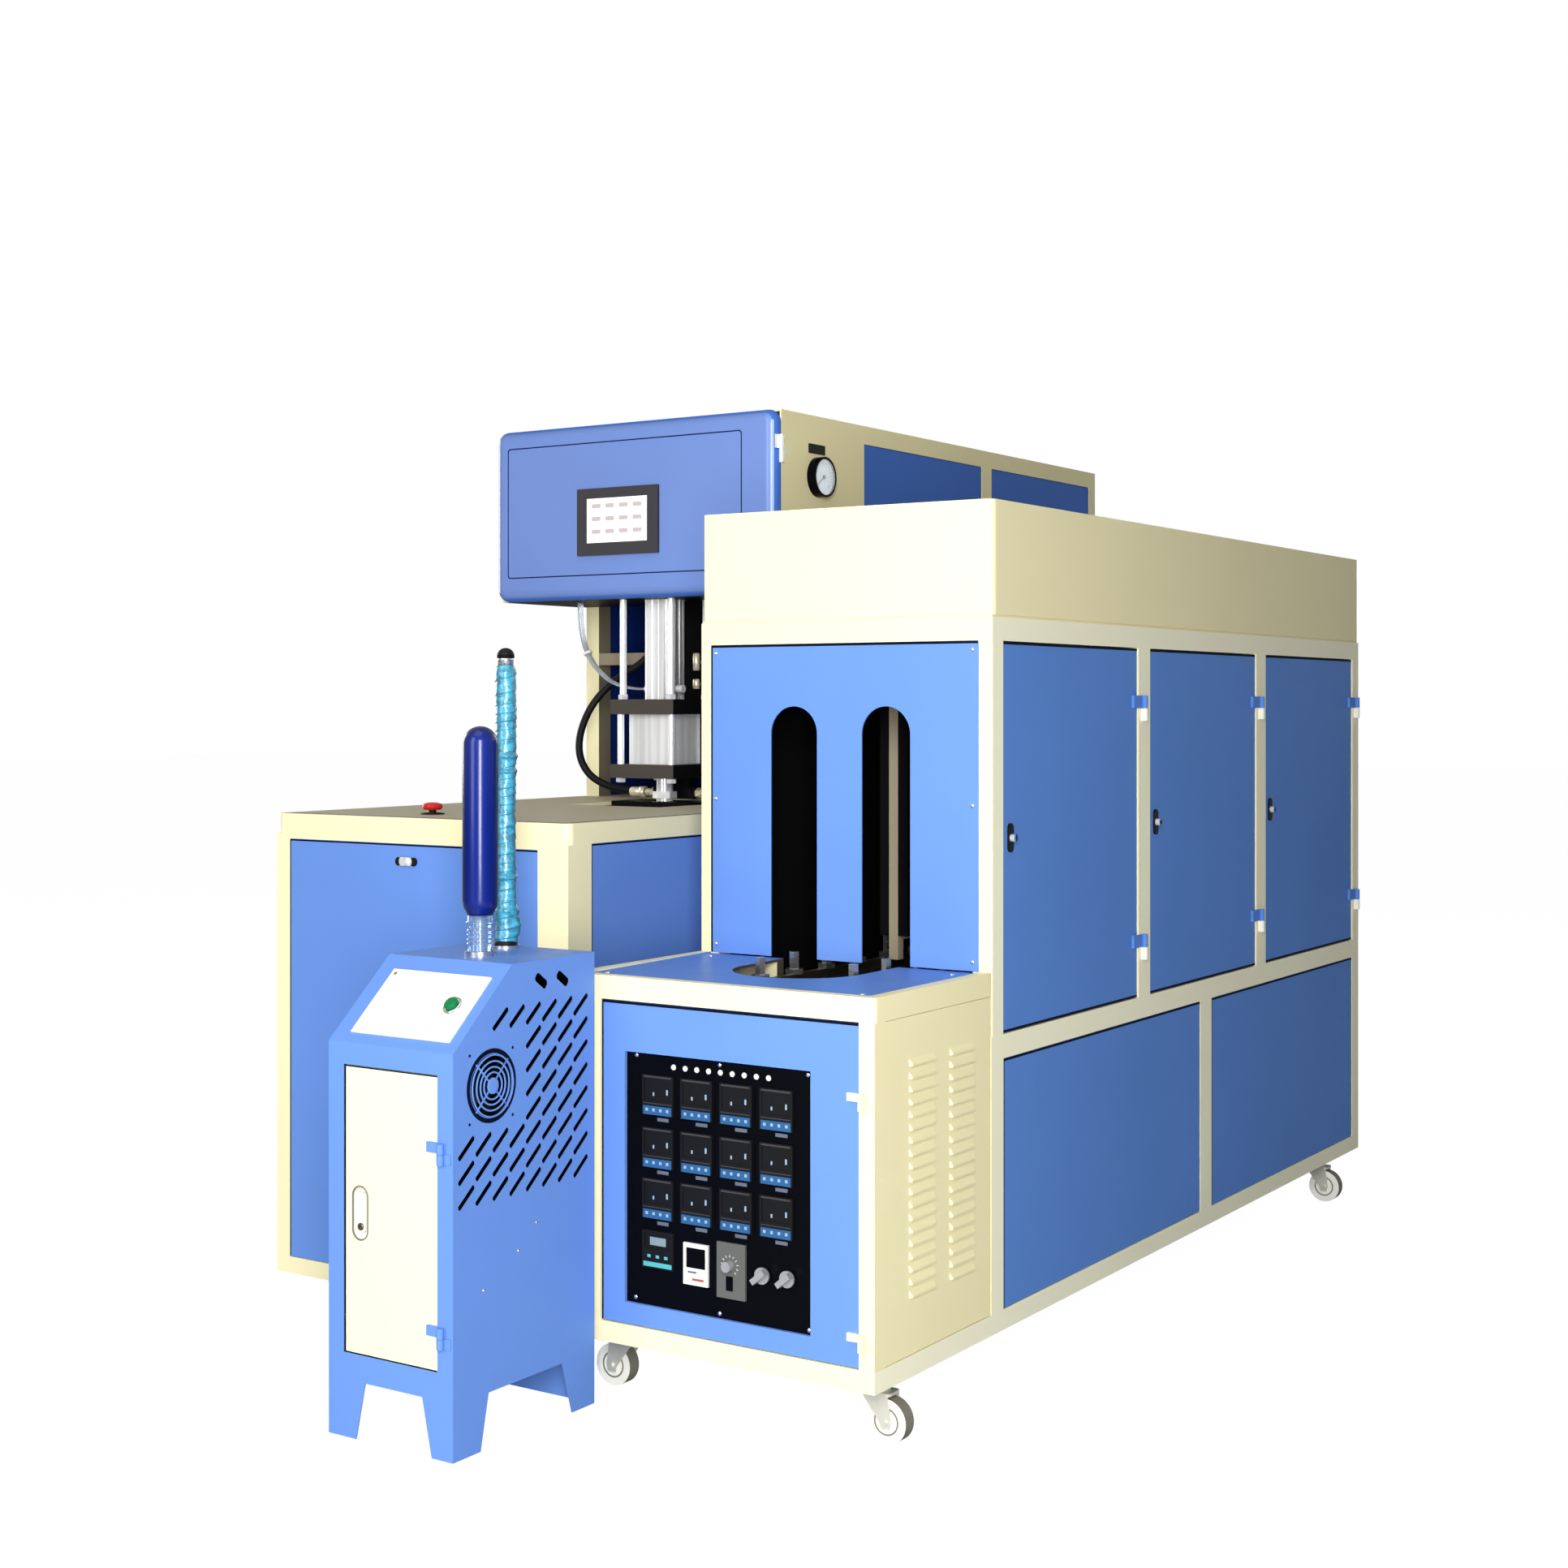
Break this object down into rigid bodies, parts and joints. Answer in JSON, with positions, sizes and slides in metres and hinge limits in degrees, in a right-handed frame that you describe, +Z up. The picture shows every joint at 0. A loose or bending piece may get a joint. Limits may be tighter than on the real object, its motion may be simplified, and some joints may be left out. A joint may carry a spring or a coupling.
{
  "type": "blow moulding machine",
  "caption": "Semi-automatic machine set: a preform oven with hinged doors, a heating stand and a press with a blow head over a split bottle mould.",
  "frame": {"origin": "middle of the underside of everything together, on the floor", "axes": "+Z up, +Y from the operator's side to the back, +X to the operator's right"},
  "size_m": [1.6974, 3.0755, 1.885],
  "materials": {
    "cream_paint": "satin powder coat",
    "blue_paint": "satin powder coat",
    "white_paint": "satin powder coat",
    "black_paint": "satin",
    "grey_paint": "satin",
    "dark_steel": "machined",
    "bright_steel": "ground",
    "chrome": "polished",
    "mould_aluminium": "machined",
    "black_plastic": "matt",
    "dark_gloss": "gloss",
    "grey_plastic": "matt",
    "red_plastic": "gloss",
    "green_plastic": "gloss",
    "blue_preform": "gloss",
    "cyan_film": "shiny film",
    "hose_rubber": "smooth",
    "wheel_nylon": "smooth"
  },
  "bodies": {
    "machine": {"press_frame": "cream_paint", "press_table": "cream_paint", "press_panels": "blue_paint", "head_box": "cream_paint", "hinge_leaves": "cream_paint", "pressure_gauge": "chrome", "blow_cylinders": "mould_aluminium", "head_plates": "black_paint", "blow_manifold": "black_paint", "air_hose": "hose_rubber", "air_tubes": "hose_rubber", "clamp_rods": "bright_steel", "clamp_cylinders": "grey_paint", "oven_frame": "cream_paint", "oven_hood": "cream_paint", "counter_plate": "cream_paint", "oven_front_panel": "blue_paint", "oven_panels": "blue_paint", "louvre_panel": "cream_paint", "conveyor_chain": "dark_steel", "conveyor_drive": "dark_steel", "preform_spindles": "bright_steel", "lamp_bank": "mould_aluminium", "caster_plates": "dark_steel", "stand_shell": "blue_paint", "console_plate": "white_paint", "fan_guard": "blue_paint", "rod_sockets": "bright_steel", "wrapped_rod": "cyan_film", "preform": "blue_preform"},
    "oven_door_1": {"oven_door_1": "blue_paint"},
    "oven_door_2": {"oven_door_2": "blue_paint"},
    "oven_door_3": {"oven_door_3": "blue_paint"},
    "control_door_panel": {"control_door": "blue_paint", "instrument_panel": "black_paint", "temperature_controllers": "dark_gloss", "panel_meters": "grey_plastic"},
    "speed_knob": {"speed_knob": "black_plastic"},
    "selector_left": {"selector_left": "black_plastic"},
    "selector_right": {"selector_right": "black_plastic"},
    "stand_door": {"stand_door": "white_paint"},
    "start_button": {"start_button": "green_plastic"},
    "fan_rotor": {"fan_rotor": "black_plastic"},
    "head_door": {"head_door": "blue_paint", "touch_screen": "dark_gloss"},
    "estop_button": {"estop_button": "red_plastic"},
    "blow_nozzle": {"blow_nozzle": "bright_steel"},
    "stretch_rod": {"stretch_rod": "chrome"},
    "mould_front": {"mould_front": "mould_aluminium", "platen_front": "grey_paint"},
    "mould_rear": {"mould_rear": "mould_aluminium", "platen_rear": "grey_paint"},
    "fork_1": {"caster_fork_1": "cream_paint"},
    "wheel_1": {"caster_wheel_1": "wheel_nylon"},
    "fork_2": {"caster_fork_2": "cream_paint"},
    "wheel_2": {"caster_wheel_2": "wheel_nylon"},
    "fork_3": {"caster_fork_3": "cream_paint"},
    "wheel_3": {"caster_wheel_3": "wheel_nylon"},
    "fork_4": {"caster_fork_4": "cream_paint"},
    "wheel_4": {"caster_wheel_4": "wheel_nylon"}
  },
  "joints": [
    {"name": "oven_door_1_hinge", "type": "hinge", "parent": "machine", "child": "oven_door_1", "pos_m": [0.84275, -0.10525, 0.985], "axis": [0, 0, 1], "range_deg": [0, 110]},
    {"name": "oven_door_2_hinge", "type": "hinge", "parent": "machine", "child": "oven_door_2", "pos_m": [0.84275, 0.53675, 0.985], "axis": [0, 0, 1], "range_deg": [0, 110]},
    {"name": "oven_door_3_hinge", "type": "hinge", "parent": "machine", "child": "oven_door_3", "pos_m": [0.84275, 1.18875, 0.985], "axis": [0, 0, 1], "range_deg": [0, 110]},
    {"name": "control_door_hinge", "type": "hinge", "parent": "machine", "child": "control_door_panel", "pos_m": [0.81425, -1.15675, 0.42], "axis": [0, 0, 1], "range_deg": [0, 110]},
    {"name": "speed_knob_turn", "type": "hinge", "parent": "control_door_panel", "child": "speed_knob", "pos_m": [0.54825, -1.15025, 0.277], "axis": [0, 1, 0], "range_deg": [-135, 135]},
    {"name": "selector_left_turn", "type": "hinge", "parent": "control_door_panel", "child": "selector_left", "pos_m": [0.61525, -1.15025, 0.27], "axis": [0, 1, 0], "range_deg": [0, 90]},
    {"name": "selector_right_turn", "type": "hinge", "parent": "control_door_panel", "child": "selector_right", "pos_m": [0.66525, -1.15025, 0.2715], "axis": [0, 1, 0], "range_deg": [0, 90]},
    {"name": "stand_door_hinge", "type": "hinge", "parent": "machine", "child": "stand_door", "pos_m": [0.24725, -1.53175, 0.38], "axis": [0, 0, 1], "range_deg": [0, 110]},
    {"name": "start_button_press", "type": "slide", "parent": "machine", "child": "start_button", "axis": [0, 0.6678, -0.7443], "range_m": [0, 0.0025], "stiffness_N_per_m": 400},
    {"name": "fan_spin", "type": "hinge", "parent": "machine", "child": "fan_rotor", "pos_m": [0.26925, -1.43125, 0.596], "axis": [1, 0, 0], "continuous": true},
    {"name": "head_door_hinge", "type": "hinge", "parent": "machine", "child": "head_door", "pos_m": [-0.02785, -0.11425, 1.68], "axis": [0, 0, 1], "range_deg": [0, 100]},
    {"name": "estop_press", "type": "slide", "parent": "machine", "child": "estop_button", "axis": [0, 0, -1], "range_m": [0, 0.006], "stiffness_N_per_m": 600},
    {"name": "nozzle_lift", "type": "slide", "parent": "machine", "child": "blow_nozzle", "axis": [0, 0, 1], "range_m": [0, 0.03]},
    {"name": "stretch_stroke", "type": "slide", "parent": "machine", "child": "stretch_rod", "axis": [0, 0, -1], "range_m": [0, 0.38]},
    {"name": "clamp_front", "type": "slide", "parent": "machine", "child": "mould_front", "axis": [0, -1, 0], "range_m": [0, 0.14]},
    {"name": "clamp_rear", "type": "slide", "parent": "machine", "child": "mould_rear", "axis": [0, 1, 0], "range_m": [0, 0.14]},
    {"name": "swivel_1", "type": "hinge", "parent": "machine", "child": "fork_1", "pos_m": [0.78025, -1.04825, 0.095], "axis": [0, 0, 1], "continuous": true},
    {"name": "roll_1", "type": "hinge", "parent": "fork_1", "child": "wheel_1", "pos_m": [0.80525, -1.04825, 0.0375], "axis": [0, 1, 0], "continuous": true},
    {"name": "swivel_2", "type": "hinge", "parent": "machine", "child": "fork_2", "pos_m": [0.26025, -1.04825, 0.095], "axis": [0, 0, 1], "continuous": true},
    {"name": "roll_2", "type": "hinge", "parent": "fork_2", "child": "wheel_2", "pos_m": [0.23525, -1.04825, 0.0375], "axis": [0, 1, 0], "continuous": true},
    {"name": "swivel_3", "type": "hinge", "parent": "machine", "child": "fork_3", "pos_m": [0.78025, 1.06475, 0.095], "axis": [0, 0, 1], "continuous": true},
    {"name": "roll_3", "type": "hinge", "parent": "fork_3", "child": "wheel_3", "pos_m": [0.80525, 1.06475, 0.0375], "axis": [0, 1, 0], "continuous": true},
    {"name": "swivel_4", "type": "hinge", "parent": "machine", "child": "fork_4", "pos_m": [0.26025, 1.06475, 0.095], "axis": [0, 0, 1], "continuous": true},
    {"name": "roll_4", "type": "hinge", "parent": "fork_4", "child": "wheel_4", "pos_m": [0.23525, 1.06475, 0.0375], "axis": [0, 1, 0], "continuous": true}
  ],
  "couplings": [
    {"joint": "clamp_rear", "follows": "clamp_front", "ratio": 1}
  ]
}
